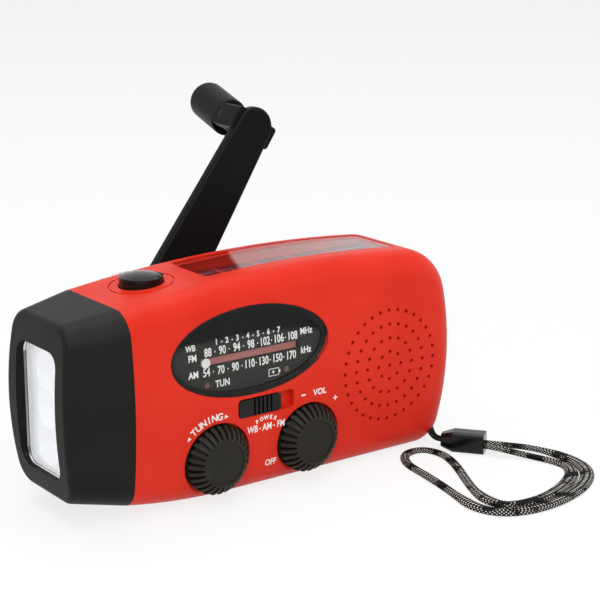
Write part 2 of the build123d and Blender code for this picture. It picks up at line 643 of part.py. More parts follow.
def make_gears():
    centres = gear_centres()
    angles = gear_angles
    half_tooth = [180 / pinion_teeth, 180 / pinion_teeth, 180 / rotor_teeth]
    drive = gear(drive_teeth, module_one, *centres[0], 13.0, 16.0, angles[0], crank_shaft_radius + pressed)
    save("drive_gear", drive)
    shaft = rod_y(hub_x, hub_z, crank_shaft_radius, 7.4, 25.2) + rod_y(hub_x, hub_z, 2.0, 5.0, 7.5)
    shaft += rod_y(hub_x, hub_z, 4.0, 11.8, 13.0)
    shaft -= rod_y(hub_x, hub_z, 1.0, 17.0, 30.0)
    save("crank_shaft", shaft)
    first = gear(pinion_teeth, module_one, *centres[1], 12.5, 16.2, angles[0] + 180 + half_tooth[0], 0)
    first += gear(wheel_one_teeth, module_two, *centres[1], 10.2, 12.6, angles[1], 0)
    first -= rod_y(*centres[1], 1.06, 0, 30)
    save("first_idler", first)
    second = gear(pinion_teeth, module_two, *centres[2], 9.7, 12.6, angles[1] + 180 + half_tooth[1], 0)
    second += gear(wheel_two_teeth, module_two, *centres[2], 7.4, 9.8, angles[2], 0)
    second -= rod_y(*centres[2], 1.06, 0, 30)
    save("second_idler", second)
    plate = block(-33.2, 16.4, plate_front_y, plate_back_y, 8.6, 52.4)
    plate = fillet(plate.edges().filter_by(Axis.Y), 3)
    # the two idlers turn on pins that stand on the plate, each with a thrust collar
    for x, z in centres[1:3]:
        plate += rod_y(x, z, axle_radius, plate_front_y, 17.4) + rod_y(x, z, 1.9, plate_back_y - 0.5, 7.3)
    plate -= rod_y(hub_x, hub_z, 2.0 + running, 0, 10)
    plate -= rod_y(*centres[3], axle_radius + running, 0, 10)
    for x, z in plate_posts:
        plate -= rod_y(x, z, 1.0, 0, 10)
    # notch that the torch button flange comes down into
    plate -= rod_z(button_x, button_y, 8.2, 51.6, 60)
    save("gear_plate", plate)
    x, z = centres[3]
    can = rod_y(x, z, 10.5, -4.4, 5.0) - rod_y(x, z, 9.8, -3.8, 4.2) - rod_y(x, z, 1.06, -10, 10)
    save("generator_case", can)
    save("generator_coil", tube_y(x, z, 9.8, 8.0, -3.4, 3.8))
    rotor = rod_y(x, z, 7.6, -3.2, 3.4) + rod_y(x, z, 1.0, -4.2, 9.8)
    rotor += gear(rotor_teeth, module_two, x, z, 7.4, 9.8, angles[2] + 180 + half_tooth[2], 0)
    save("generator_rotor", rotor)
    bush = tube_y(hub_x, hub_z, 4.0, crank_shaft_radius + running, 16.6, half_depth)
    bush += tube_y(hub_x, hub_z, 5.6, crank_shaft_radius + running, half_depth, 21.2)
    save("crank_bush", bush)


def on_arm(shape):
    # shapes for the arm are drawn upright along +Z from the hub, then leaned over
    return Pos(hub_x, 0, hub_z) * Rot(0, crank_lean, 0) * shape


def make_crank():
    far_y = arm_near_y + arm_thick
    pivot_y = far_y + grip_radius + 0.4
    with BuildSketch() as outline:
        make_hull([*Circle(arm_hub_half).edges(), *(Pos(0, arm_length) * Circle(arm_tip_half)).edges()])
    arm = prism_y(outline.sketch, arm_near_y, far_y)
    arm = fillet(arm.edges().filter_by(lambda e: e.length > 8), 1.0)
    # cheeks that carry the grip's pivot, standing just proud of both edges
    cheek_half = arm_tip_half + 1.3
    cheek_inner = 4.6
    for side in (-1, 1):
        low, high = sorted((side * cheek_inner, side * cheek_half))
        cheek = block(low, high, arm_near_y + 0.9, pivot_y, arm_length - 3.4, arm_length + 3.4)
        outer = cheek.edges().filter_by(Axis.Y).group_by(Axis.X)[0 if side < 0 else -1]
        cheek = fillet(outer, 1.0) + rod_x(pivot_y, arm_length, 3.4, low, high)
        arm += cheek
    arm += prism_y(Circle(6.6), far_y - 0.5, far_y + 1.0)
    arm -= rod_x(pivot_y, arm_length, 1.25, -20, 20)
    arm -= rod_y(0, 0, crank_shaft_radius + pressed, 10, 40)
    arm -= rod_y(0, 0, 4.2, 25.4, 40)
    save("crank_arm", on_arm(arm))
    pin = rod_x(pivot_y, arm_length, 1.2, -cheek_half + 0.1, cheek_half - 0.1)
    save("grip_pin", on_arm(pin))
    cap = screw(0, 0, 25.5, 18.0, 0.98, 4.1)
    save("crank_screw", on_arm(cap))
    root_half = cheek_inner - 0.3
    # the grip's post, drawn along +Y from the pivot, then tilted to the tip
    post = rod_x(0, 0, 3.2, -root_half, root_half)
    post += block(-root_half, root_half, 0, 4.6, -2.6, 2.6)
    post += rod_y(0, 0, 2.4, 4.0, grip_end - 2.6)
    post += rod_y(0, 0, 3.2, grip_end - 2.8, grip_end - 1.9)
    post -= rod_x(0, 0, 1.25, -20, 20)
    place = Pos(0, pivot_y, arm_length) * Rot(grip_tilt, 0, 0)
    save("grip_post", on_arm(place * post))
    grip = rod_y(0, 0, grip_radius, 5.0, grip_end)
    grip = fillet(grip.edges().sort_by(Axis.Y)[-1], 3.0)
    grip = fillet(grip.edges().sort_by(Axis.Y)[0], 0.8)
    grip -= rod_y(0, 0, 2.4 + running, 4.0, grip_end - 2.8)
    grip -= rod_y(0, 0, 3.2 + running, grip_end - 2.86, grip_end - 1.8)
    save("crank_grip", on_arm(place * grip))


def make_aerial():
    base = rod_x(aerial_y, aerial_z, 1.4, aerial_seat_x - 3.9, aerial_seat_x + 0.2)
    base += rod_x(aerial_y, aerial_z, aerial_radius, aerial_seat_x + 0.1, aerial_pivot_x + 2.0)
    base -= block(aerial_pivot_x - 2.2, 0, aerial_y - 0.85, aerial_y + 0.85, 50, 60)
    base += rod_y(aerial_pivot_x, aerial_z, aerial_pin_radius, aerial_y - 2.0, aerial_y + 2.0)
    save("aerial_base", base)
    eye = rod_y(aerial_pivot_x, aerial_z, 1.9, aerial_y - 0.8, aerial_y + 0.8)
    eye += block(aerial_pivot_x, aerial_pivot_x + 4.5, aerial_y - 0.8, aerial_y + 0.8,
                 aerial_z - 1.3, aerial_z + 1.3)
    tube = rod_x(aerial_y, aerial_z, aerial_radius, aerial_pivot_x + 3.2, aerial_tip_x - 5.0)
    tube -= rod_x(aerial_y, aerial_z, 1.65, aerial_pivot_x + 5.0, 90)
    first = tube + eye - rod_y(aerial_pivot_x, aerial_z, aerial_pin_radius + running, 0, 40)
    save("aerial_tube_1", first)
    second = rod_x(aerial_y, aerial_z, 1.6, aerial_pivot_x + 6.5, aerial_tip_x - 4.2)
    second -= rod_x(aerial_y, aerial_z, 1.2, aerial_pivot_x + 8.0, 90)
    save("aerial_tube_2", second)
    third = rod_x(aerial_y, aerial_z, 1.15, aerial_pivot_x + 9.5, aerial_tip_x - 3.0)
    tip = rod_x(aerial_y, aerial_z, 2.0, aerial_tip_x - 3.4, aerial_tip_x)
    tip = fillet(tip.edges().filter_by(GeomType.CIRCLE), 0.6)
    save("aerial_tip", third + tip)


def make_sockets():
    cover = cover_room(-0.05) & block(50, 80, -5.9, 5.6, 22.1, 41.9)
    # rolled bead that the rubber cover folds about
    cover += rod_z(cover_hinge_x, cover_hinge_y, 0.68, 22.1, 41.9) & case
    cover = cover + (block(end_x - 5.4, end_x - 0.7, -2.4, 2.2, 26.4, 27.4) & case_form(1.0))
    save("socket_cover", cover)
    body = block(54.5, 60.8, -4.0, 2.2, 28.0, 38.6)
    body -= block(56.0, 62, -3.4, 1.6, 30.0, 38.0)
    save("charge_socket", body)


def on_clip(shape):
    return Pos(*clip_middle) * Rot(0, 0, clip_heading) * shape


def clip_point(along, across, up):
    turn = radians(clip_heading)
    x, y, z = clip_middle
    return (x + along * cos(turn) - across * sin(turn), y + along * sin(turn) + across * cos(turn), z + up)


def cord_tube(name, route, radius):
    bends = []
    for before, here, after in zip(route, route[1:], route[2:]):
        a, b = Vector(*here) - Vector(*before), Vector(*after) - Vector(*here)
        turn = radians(a.get_angle(b))
        bends.append(0.45 * min(a.length, b.length) / tan(turn / 2))
    path = FilletPolyline(*route, radius=bends)
    start = Plane(origin=path @ 0, z_dir=path % 0)
    tube = sweep(start * Circle(radius), path=path)
    share = tube.volume / (pi * radius**2 * path.length)
    print(name, "length", round(path.length, 1), "volume share", round(share, 3), "radii",
          [round(bend, 1) for bend in bends])
    return tube


def make_strap():
    save("strap_pin", rod_z(strap_pin_x, strap_pin_y, strap_pin_radius, 2.45, 9.95))
    clip = Box(clip_long, clip_wide, clip_tall)
    clip = fillet(clip.edges().filter_by(Axis.X), 1.2)
    taper = Pos(-clip_long / 2, 0, 0) * Box(7, 20, 20)
    nose = loft([Pos(-clip_long / 2, 0, 0) * (Plane.YZ * rounded(3.8, 3.8, 1.0)),
                 Pos(-clip_long / 2 + 3.5, 0, 0) * (Plane.YZ * rounded(clip_wide, clip_tall, 1.2))])
    save("strap_clip", on_clip((clip - taper) + nose))
    # doubled string: out of the clip, round the pin and back
    nose_end = -clip_long / 2
    string = [clip_point(nose_end, 0.8, 0), clip_point(nose_end - 1.6, 0.8, 0), (57.7, -17.4, 3.8),
              (61.6, -12.2, 4.7), (63.3, -6.6, 5.8), (60.6, -1.2, 6.1), (57.0, -1.0, 6.1), (56.9, -4.9, 6.1),
              (61.2, -5.4, 6.0), (61.6, -9.4, 5.4), (59.6, -13.6, 4.6), (56.2, -17.6, 3.8),
              clip_point(nose_end - 1.6, -0.8, 0), clip_point(nose_end, -0.8, 0)]
    save("strap_string", cord_tube("strap_string", string, string_radius))
    # one closed ribbon: out of the clip, round the far bend, back to the case and home again
    tail_end = clip_long / 2
    ribbon = [clip_point(tail_end, 1.3, -0.5), clip_point(tail_end + 2.5, 1.3, -0.5)]
    ribbon += [(77.2, -42.4, 1.7), (81.2, -48.8, 1.25), (81.2, -56.6, 1.25), (76.6, -63.6, 1.25),
               (69.0, -68.8, 1.25), (60.4, -72.0, 1.25), (51.6, -73.6, 1.25), (42.9, -73.2, 1.25),
               (36.0, -70.2, 1.25), (33.2, -64.0, 1.25), (34.6, -55.6, 1.25), (37.2, -46.2, 1.25),
               (39.3, -37.0, 1.25), (41.0, -28.6, 1.25), (45.8, -22.6, 1.25), (52.0, -22.6, 1.25),
               (53.6, -28.6, 1.25), (50.3, -36.2, 1.25), (46.2, -44.0, 1.25), (42.3, -51.8, 1.25),
               (40.2, -59.2, 1.25), (43.2, -65.4, 1.25), (50.6, -67.9, 1.25), (58.9, -67.4, 1.25),
               (66.6, -64.9, 1.25), (72.2, -59.4, 1.25), (73.4, -52.0, 1.25), (71.4, -44.6, 1.5)]
    ribbon += [clip_point(tail_end + 2.5, -1.3, -0.5), clip_point(tail_end, -1.3, -0.5)]
    save("strap_ribbon", cord_tube("strap_ribbon", ribbon, ribbon_radius))


def main():
    save("front_shell", make_front_shell())
    save("rear_shell", make_rear_shell())
    save("lamp_head", make_lamp_head())
    make_lamp()
    make_controls()
    make_dial()
    make_board()
    make_speaker()
    make_top()
    make_power()
    make_gears()
    make_crank()
    make_aerial()
    make_sockets()
    make_strap()
    screws = [screw(x, z, 15.0, 0.0, case_thread_radius, 2.5) for x, z in case_screw_places()]
    save("case_screws", *screws)


main()
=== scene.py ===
import math

import bmesh
import bpy
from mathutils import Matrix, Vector


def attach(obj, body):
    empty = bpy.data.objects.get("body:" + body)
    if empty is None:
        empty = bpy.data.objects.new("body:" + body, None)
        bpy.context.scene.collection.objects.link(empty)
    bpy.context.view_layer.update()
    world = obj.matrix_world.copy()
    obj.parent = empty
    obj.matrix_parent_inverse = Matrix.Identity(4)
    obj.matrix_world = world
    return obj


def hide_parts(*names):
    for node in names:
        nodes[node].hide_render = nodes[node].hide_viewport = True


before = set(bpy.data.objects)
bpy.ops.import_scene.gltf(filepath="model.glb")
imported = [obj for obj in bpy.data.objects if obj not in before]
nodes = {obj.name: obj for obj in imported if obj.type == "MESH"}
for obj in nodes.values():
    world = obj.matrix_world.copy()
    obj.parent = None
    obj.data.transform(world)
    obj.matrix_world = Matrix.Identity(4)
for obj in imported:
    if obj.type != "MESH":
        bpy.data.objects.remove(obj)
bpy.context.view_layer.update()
mm = 0.001
print("radio frame loaded")


def hexColour(code, alpha=1.0):
    channels = [int(code[i:i + 2], 16) / 255 for i in (1, 3, 5)]
    linear = [c / 12.92 if c <= 0.04045 else ((c + 0.055) / 1.055) ** 2.4 for c in channels]
    return (*linear, alpha)


def addNode(tree, kind, settings=None, inputs=None, links=None, stops=()):
    # links come from a socket, or from a node's first output; stops colour a ramp
    node = tree.nodes.new(kind)
    for name, value in (settings or {}).items():
        setattr(node, name, value)
    for name, value in (inputs or {}).items():
        node.inputs[name].default_value = value
    for name, source in (links or {}).items():
        tree.links.new(source.outputs[0] if hasattr(source, "outputs") else source, node.inputs[name])
    for k, (place, code) in enumerate(stops):
        node.color_ramp.elements[k].position = place
        node.color_ramp.elements[k].color = hexColour(code)
    return node


def emptyMaterial(name):
    material = bpy.data.materials.new(name)
    material.use_nodes = True
    material.node_tree.nodes.clear()
    return material, material.node_tree


def shadeSurface(tree, values, links):
    # the one shader of every finish: plain values sit on its sockets, patterns are linked
    shader = addNode(tree, "ShaderNodeBsdfPrincipled", inputs=values, links=links)
    addNode(tree, "ShaderNodeOutputMaterial", links={"Surface": shader})


def setMaterial(nodeNames, material):
    for name in nodeNames:
        mesh = nodes[name].data
        mesh.materials.clear()
        mesh.materials.append(material)


def addObject(name, data):
    made = bpy.data.objects.new(name, data)
    bpy.context.scene.collection.objects.link(made)
    return made


def meshPiece(name, points, faces, material):
    # a piece from points in millimetres
    mesh = bpy.data.meshes.new(name)
    mesh.from_pydata([tuple(c * mm for c in p) for p in points], [], faces)
    mesh.materials.append(material)
    mesh.update()
    return addObject(name, mesh)


def meshOfCurve(data):
    # the curve's shape as a mesh; the curve itself is thrown away
    holder = addObject(data.name, data)
    mesh = bpy.data.meshes.new_from_object(holder)
    bpy.data.objects.remove(holder)
    bpy.data.curves.remove(data)
    return mesh


def turnOutward(mesh):
    shape = bmesh.new()
    shape.from_mesh(mesh)
    bmesh.ops.recalc_face_normals(shape, faces=shape.faces)
    shape.to_mesh(mesh)
    shape.free()


cameraPlace = {"at": (-245.9, -365.4, 165.7), "aim": (11.7, -15.0, 50.0), "lens": 100.15, "sensor": 36.0}


def makeCamera():
    data = bpy.data.cameras.new("camera")
    data.lens = cameraPlace["lens"]
    data.sensor_width = cameraPlace["sensor"]
    data.clip_start = 0.01
    camera = addObject("camera", data)
    place = Vector(cameraPlace["at"]) * mm
    camera.location = place
    camera.rotation_euler = (Vector(cameraPlace["aim"]) * mm - place).to_track_quat("-Z", "Y").to_euler()
    bpy.context.scene.camera = camera


makeCamera()
print("camera set")

# wrist strap: a flat braided ribbon and a doubled string, with the clip between them
strapSizes = {
    "ribbonWidth": 4.0, "ribbonThickness": 1.3, "ribbonSides": 16, "ribbonSteps": 10, "ribbonLow": 0.72,
    "stringDiameter": 1.1, "stringSides": 10, "stringSteps": 12,
    "clipAt": (60.6, -27.8, 3.15), "clipHeading": -52.0,
    "openBeyond": -52.0, "openSideX": 73.0, "openSideY": -42.0, "legShare": 0.64,
}


def clipPoint(along, across, up):
    turn = math.radians(strapSizes["clipHeading"])
    x, y, z = strapSizes["clipAt"]
    return (x + along * math.cos(turn) - across * math.sin(turn),
            y + along * math.sin(turn) + across * math.cos(turn), z + up)


def smoothLine(points, steps):
    # points along the NURBS spline through these control points, in metres
    data = bpy.data.curves.new("route", "CURVE")
    data.dimensions = "3D"
    spline = data.splines.new("NURBS")
    spline.points.add(len(points) - 1)
    for point, place in zip(spline.points, points):
        point.co = (*(c * mm for c in place), 1.0)
    spline.order_u = 3
    spline.use_endpoint_u = True
    data.resolution_u = steps
    mesh = meshOfCurve(data)
    line = [v.co.copy() for v in mesh.vertices]
    bpy.data.meshes.remove(mesh)
    return line


def bandShare(place):
    # the flat band lies open round its far side and gathers narrower in its legs
    x, y = place.x / mm, place.y / mm
    far = min(max((strapSizes["openBeyond"] - y) / 10, 0), 1)
    side = min(max((x - strapSizes["openSideX"]) / 4, 0), 1)
    side *= min(max((strapSizes["openSideY"] - y) / 6, 0), 1)
    share = max(far, side)
    return strapSizes["legShare"] + (1 - strapSizes["legShare"]) * share * share * (3 - 2 * share)


def tubeAlong(name, line, profile, material, flat=False):
    # a closed tube whose section, in millimetres, is carried along the line
    count, around = len(line), len(profile)
    points, mesh = [], bpy.data.meshes.new(name)
    side = None
    for i, place in enumerate(line):
        ahead = (line[min(i + 1, count - 1)] - line[max(i - 1, 0)]).normalized()
        up = Vector((0, 0, 1)) if side is None or flat else side.cross(ahead)
        side = ahead.cross(up).normalized()
        up = side.cross(ahead).normalized()
        share = bandShare(place) if flat else 1.0
        for across, high in profile:
            points.append(place + side * (across * share * mm) + up * (high * mm))
    faces = []
    for i in range(count - 1):
        for k in range(around):
            a, b = i * around + k, i * around + (k + 1) % around
            faces.append((a, b, b + around, a + around))
    faces.append(tuple(range(around - 1, -1, -1)))
    faces.append(tuple((count - 1) * around + k for k in range(around)))
    mesh.from_pydata(points, [], faces)
    layer = mesh.uv_layers.new(name="along")
    run = [0.0]
    for a, b in zip(line, line[1:]):
        run.append(run[-1] + (b - a).length)
    for face in mesh.polygons:
        ring = [mesh.loops[loop].vertex_index % around for loop in face.loop_indices]
        wraps = around - 1 in ring and 0 in ring
        for loop in face.loop_indices:
            vertex = mesh.loops[loop].vertex_index
            turn = vertex % around
            turn = around if wraps and turn == 0 else turn
            layer.data[loop].uv = (run[vertex // around] / mm, turn / around)
    mesh.materials.append(material)
    mesh.shade_smooth()
    turnOutward(mesh)
    return addObject(name, mesh)


def makeBraid(name, base, highlightColour, pitch, rows):
    # braided polyester: crossing yarns, with painted highlights: pale flecks painted on the yarn crests, in
    # patches along the cord that stand in for where light falls
    material, tree = emptyMaterial(name)
    place = addNode(tree, "ShaderNodeUVMap", {"uv_map": "along"})
    parts = addNode(tree, "ShaderNodeSeparateXYZ", links={"Vector": place})
    run = addNode(tree, "ShaderNodeMath", {"operation": "MULTIPLY"}, {1: 2 * math.pi / pitch},
                  {0: parts.outputs["X"]})
    turn = addNode(tree, "ShaderNodeMath", {"operation": "MULTIPLY"}, {1: 2 * math.pi * rows},
                   {0: parts.outputs["Y"]})
    waves = []
    for way in ("ADD", "SUBTRACT"):
        phase = addNode(tree, "ShaderNodeMath", {"operation": way}, links={0: run, 1: turn})
        waves.append(addNode(tree, "ShaderNodeMath", {"operation": "SINE"}, links={0: phase}))
    cross = addNode(tree, "ShaderNodeMath", {"operation": "MULTIPLY"}, links={0: waves[0], 1: waves[1]})
    height = addNode(tree, "ShaderNodeMath", {"operation": "ABSOLUTE"}, links={0: cross})
    crestHighlight = addNode(tree, "ShaderNodeMapRange", inputs={"From Min": 0.62, "From Max": 0.8},
                    links={"Value": height})
    noise = addNode(tree, "ShaderNodeTexNoise", inputs={"Scale": 1 / (5 * mm), "Detail": 2.0},
                    links={"Vector": addNode(tree, "ShaderNodeTexCoord").outputs["Object"]})
    litPatch = addNode(tree, "ShaderNodeMapRange", inputs={"From Min": 0.36, "From Max": 0.5},
                    links={"Value": noise})
    mark = addNode(tree, "ShaderNodeMath", {"operation": "MULTIPLY"}, links={0: crestHighlight, 1: litPatch})
    # painted highlight: the crests take the pale colour only inside the lit patches
    tint = addNode(tree, "ShaderNodeValToRGB", links={"Fac": mark}, stops=((0.2, base), (0.8, highlightColour)))
    bump = addNode(tree, "ShaderNodeBump", inputs={"Strength": 0.9, "Distance": 0.25 * mm},
                   links={"Height": height})
    shadeSurface(tree, {"Roughness": 0.8, "IOR": 1.5, "Specular IOR Level": 0.1},
                 {"Base Color": tint, "Normal": bump})
    return material


# the second colour of each cord is its painted highlight
ribbonBraid = makeBraid("braidedPolyesterRibbon", "#0B0B0A", "#E6E4DE", 2.0, 3)
stringBraid = makeBraid("twistedPolyesterString", "#0D0D0C", "#5C5A55", 1.2, 2)

# routes from the clip and back to it; the ribbon lies with its middle at ribbonLow
ribbonRoute = [clipPoint(6.3, 1.3, -0.5), clipPoint(8.8, 1.3, -0.5), (75.8, -40.0, 1.4)]
ribbonRoute += [(x, y, strapSizes["ribbonLow"]) for x, y in (
    (79.2, -47.4), (79.2, -55.8), (75.6, -62.8), (68.8, -68.2), (60.4, -71.7), (51.6, -73.5), (42.9, -73.2),
    (36.0, -70.2), (33.2, -64.0), (34.4, -55.6), (36.6, -46.2), (38.2, -37.0), (39.4, -27.6), (44.0, -21.0),
    (51.0, -20.8), (53.2, -27.6), (50.3, -36.2), (46.2, -44.0), (41.9, -52.2), (39.2, -60.0), (39.8, -66.6),
    (44.6, -69.0), (51.4, -69.4), (59.2, -67.6), (66.4, -64.4), (71.8, -60.6), (74.8, -55.4), (74.0, -49.6))]
ribbonRoute += [(70.4, -43.2, 1.2), clipPoint(8.8, -1.3, -0.5), clipPoint(6.3, -1.3, -0.5)]
stringRoute = [clipPoint(-6.3, 0.8, 0), clipPoint(-7.9, 0.8, 0), (57.7, -17.4, 3.8), (61.6, -12.2, 4.7),
               (63.3, -6.6, 5.8), (60.6, -1.2, 6.1), (57.0, -1.0, 6.1), (56.9, -4.9, 6.1), (61.2, -5.4, 6.0),
               (61.6, -9.4, 5.4), (59.6, -13.6, 4.6), (56.2, -17.6, 3.8), clipPoint(-7.9, -0.8, 0),
               clipPoint(-6.3, -0.8, 0)]


def makeStrap():
    half, thick = strapSizes["ribbonWidth"] / 2, strapSizes["ribbonThickness"] / 2
    section = []
    for k in range(strapSizes["ribbonSides"]):
        turn = 2 * math.pi * k / strapSizes["ribbonSides"]
        across, high = math.cos(turn), math.sin(turn)
        # flatter than an ellipse
        section.append((half * math.copysign(abs(across) ** 0.6, across),
                        thick * math.copysign(abs(high) ** 0.7, high)))
    line = smoothLine(ribbonRoute, strapSizes["ribbonSteps"])
    ribbon = tubeAlong("strapRibbonBraid", line, section, ribbonBraid, flat=True)
    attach(ribbon, "case")
    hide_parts("strap_ribbon")
    radius, sides = strapSizes["stringDiameter"] / 2, strapSizes["stringSides"]
    turns = [2 * math.pi * k / sides for k in range(sides)]
    ring = [(radius * math.cos(turn), radius * math.sin(turn)) for turn in turns]
    line = smoothLine(stringRoute, strapSizes["stringSteps"])
    string = tubeAlong("strapStringTwist", line, ring, stringBraid)
    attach(string, "case")
    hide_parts("strap_string")


makeStrap()
print("strap made")


def mouldedPlastic(name, first, second, roughness, grain=0.5, depth=0.03, sheen=0.0, coat=0.0,
                   shine=0.14, glow=0.0):
    # plastic out of a spark-eroded mould: a fine matt grain, drawn coarse enough to show, and faint mottling
    material, tree = emptyMaterial(name)
    point = addNode(tree, "ShaderNodeTexCoord").outputs["Object"]
    mottle = addNode(tree, "ShaderNodeTexNoise", inputs={"Scale": 1 / (26 * mm), "Detail": 2.0},
                     links={"Vector": point})
    tint = addNode(tree, "ShaderNodeValToRGB", links={"Fac": mottle}, stops=((0.35, first), (0.65, second)))
    wear = addNode(tree, "ShaderNodeTexNoise", inputs={"Scale": 1 / (9 * mm), "Detail": 4.0},
                   links={"Vector": point})
    rough = addNode(tree, "ShaderNodeMapRange", links={"Value": wear},
                    inputs={"To Min": roughness - 0.05, "To Max": roughness + 0.05})
    pits = addNode(tree, "ShaderNodeTexNoise", inputs={"Scale": 1 / (grain * mm), "Detail": 2.0},
                   links={"Vector": point})
    bump = addNode(tree, "ShaderNodeBump", inputs={"Strength": 0.35, "Distance": depth * mm},
                   links={"Height": pits})
    # glow is painted light: an emission on the surface, for a part that is no lamp
    shadeSurface(tree, {"IOR": 1.53, "Specular IOR Level": shine, "Sheen Weight": sheen, "Coat Weight": coat,
                        "Coat Roughness": 0.12, "Emission Color": (1, 1, 1, 1), "Emission Strength": glow},
                 {"Base Color": tint, "Roughness": rough, "Normal": bump})
    return material


def bareMetal(name, colour, roughness, streak=(0.4, 0.4, 0.4)):
    # plated or drawn metal: faint streaks along the way it was worked
    material, tree = emptyMaterial(name)
    stretch = addNode(tree, "ShaderNodeMapping", inputs={"Scale": [1 / (s * mm) for s in streak]},
                      links={"Vector": addNode(tree, "ShaderNodeTexCoord").outputs["Object"]})
    grain = addNode(tree, "ShaderNodeTexNoise", inputs={"Scale": 1.0, "Detail": 3.0},
                    links={"Vector": stretch})
    rough = addNode(tree, "ShaderNodeMapRange", links={"Value": grain},
                    inputs={"To Min": roughness * 0.7, "To Max": roughness * 1.3})
    bump = addNode(tree, "ShaderNodeBump", inputs={"Strength": 0.15, "Distance": 0.01 * mm},
                   links={"Height": grain})
    shadeSurface(tree, {"Metallic": 1.0, "Base Color": hexColour(colour)},
                 {"Roughness": rough, "Normal": bump})
    return material


def clearPlastic(name, tint, roughness, ior):
    # injection-moulded clear plastic, with the slightest ripple in its polish
    material, tree = emptyMaterial(name)
    ripple = addNode(tree, "ShaderNodeTexNoise", inputs={"Scale": 1 / (6 * mm), "Detail": 1.0},
                     links={"Vector": addNode(tree, "ShaderNodeTexCoord").outputs["Object"]})
    bump = addNode(tree, "ShaderNodeBump", inputs={"Strength": 0.06, "Distance": 0.02 * mm},
                   links={"Height": ripple})
    shadeSurface(tree, {"Base Color": hexColour(tint), "Roughness": roughness, "IOR": ior,
                        "Transmission Weight": 1.0}, {"Normal": bump})
    return material


def woundWire(name, axis, pitch=0.35):
    # enamelled copper wire laid turn beside turn
    material, tree = emptyMaterial(name)
    point = addNode(tree, "ShaderNodeTexCoord").outputs["Object"]
    parts = addNode(tree, "ShaderNodeSeparateXYZ", links={"Vector": point})
    turns = addNode(tree, "ShaderNodeMath", {"operation": "MULTIPLY"}, {1: 2 * math.pi / (pitch * mm)},
                    {0: parts.outputs[axis]})
    wave = addNode(tree, "ShaderNodeMath", {"operation": "SINE"}, links={0: turns})
    lift = addNode(tree, "ShaderNodeMapRange", inputs={"From Min": -1.0}, links={"Value": wave})
    # painted shade and highlight: the copper is darker in the grooves between turns and lighter on their tops
    tint = addNode(tree, "ShaderNodeValToRGB", links={"Fac": lift},
                   stops=((0.2, "#5A2A12"), (0.8, "#B8642E")))
    enamel = addNode(tree, "ShaderNodeTexNoise", inputs={"Scale": 1 / (2 * mm), "Detail": 3.0},
                     links={"Vector": point})
    rough = addNode(tree, "ShaderNodeMapRange", inputs={"To Min": 0.25, "To Max": 0.4},
                    links={"Value": enamel})
    bump = addNode(tree, "ShaderNodeBump", inputs={"Strength": 0.8, "Distance": 0.12 * mm},
                   links={"Height": lift})
    shadeSurface(tree, {"Metallic": 0.85, "IOR": 1.5, "Coat Weight": 0.6},
                 {"Base Color": tint, "Roughness": rough, "Normal": bump})
    return material


def circuitBoard(name, mask, track):
    # solder mask over etched copper, which shows as slightly raised lighter lanes
    material, tree = emptyMaterial(name)
    point = addNode(tree, "ShaderNodeTexCoord").outputs["Object"]
    cells = addNode(tree, "ShaderNodeTexVoronoi", {"feature": "DISTANCE_TO_EDGE", "distance": "EUCLIDEAN"},
                    {"Scale": 1 / (4.5 * mm)}, {"Vector": point})
    lanes = addNode(tree, "ShaderNodeMapRange", inputs={"From Min": 0.04, "From Max": 0.07},
                    links={"Value": cells.outputs["Distance"]})
    tint = addNode(tree, "ShaderNodeValToRGB", links={"Fac": lanes}, stops=((0.3, track), (0.7, mask)))
    resin = addNode(tree, "ShaderNodeTexNoise", inputs={"Scale": 1 / (3 * mm), "Detail": 3.0},
                    links={"Vector": point})
    rough = addNode(tree, "ShaderNodeMapRange", inputs={"To Min": 0.3, "To Max": 0.42},
                    links={"Value": resin})
    bump = addNode(tree, "ShaderNodeBump", inputs={"Strength": 0.3, "Distance": 0.05 * mm},
                   links={"Height": lanes})
    shadeSurface(tree, {"IOR": 1.5, "Coat Weight": 0.5},
                 {"Base Color": tint, "Roughness": rough, "Normal": bump})
    return material


redAbs = mouldedPlastic("mouldedRedAbs", "#DD2F1B", "#D42814", 0.42)
softTouch = mouldedPlastic("softTouchCharcoalCoating", "#1A1916", "#141311", 0.5, 0.4, 0.02, shine=0.13)
blackAbs = mouldedPlastic("mouldedBlackAbs", "#090908", "#0D0D0C", 0.4, 0.6, 0.03, shine=0.08)
knobAbs = mouldedPlastic("knobBlackAbs", "#2A2820", "#23211B", 0.5, 0.35, 0.03)
glossAbs = mouldedPlastic("glossBlackAbs", "#0A0A09", "#0E0E0D", 0.2, 2.0, 0.005, coat=0.2)
acetal = mouldedPlastic("whiteAcetal", "#EFEDE6", "#E2E0D8", 0.35, 0.8, 0.01)
phenolic = mouldedPlastic("brownPhenolic", "#3A2416", "#2A1A10", 0.45, 0.5, 0.03)
rubber = mouldedPlastic("blackSilicone", "#1A1A19", "#121211", 0.6, 0.5, 0.02, sheen=0.1)
conePulp = mouldedPlastic("blackPulpPaper", "#1C1B1A", "#2A2826", 0.9, 0.8, 0.15)
ferriteGrey = mouldedPlastic("sinteredFerrite", "#3A3A3C", "#2C2C2E", 0.55, 0.3, 0.04)
cellWrap = mouldedPlastic("shrinkWrapSleeve", "#2E7A4A", "#28704A", 0.25, 4.0, 0.02, coat=0.3)
printWhite = mouldedPlastic("padPrintedWhiteInk", "#F4F2EC", "#E9E7E0", 0.5, 0.3, 0.01)
chromeTube = bareMetal("nickelPlatedBrassTube", "#E4E4E2", 0.14, (4, 0.3, 0.3))
zincSteel = bareMetal("zincPlatedSteel", "#BCBDBE", 0.34)
darkSteel = bareMetal("blackOxideSteel", "#262626", 0.4)
bronze = bareMetal("sinteredBronze", "#B58A52", 0.45)
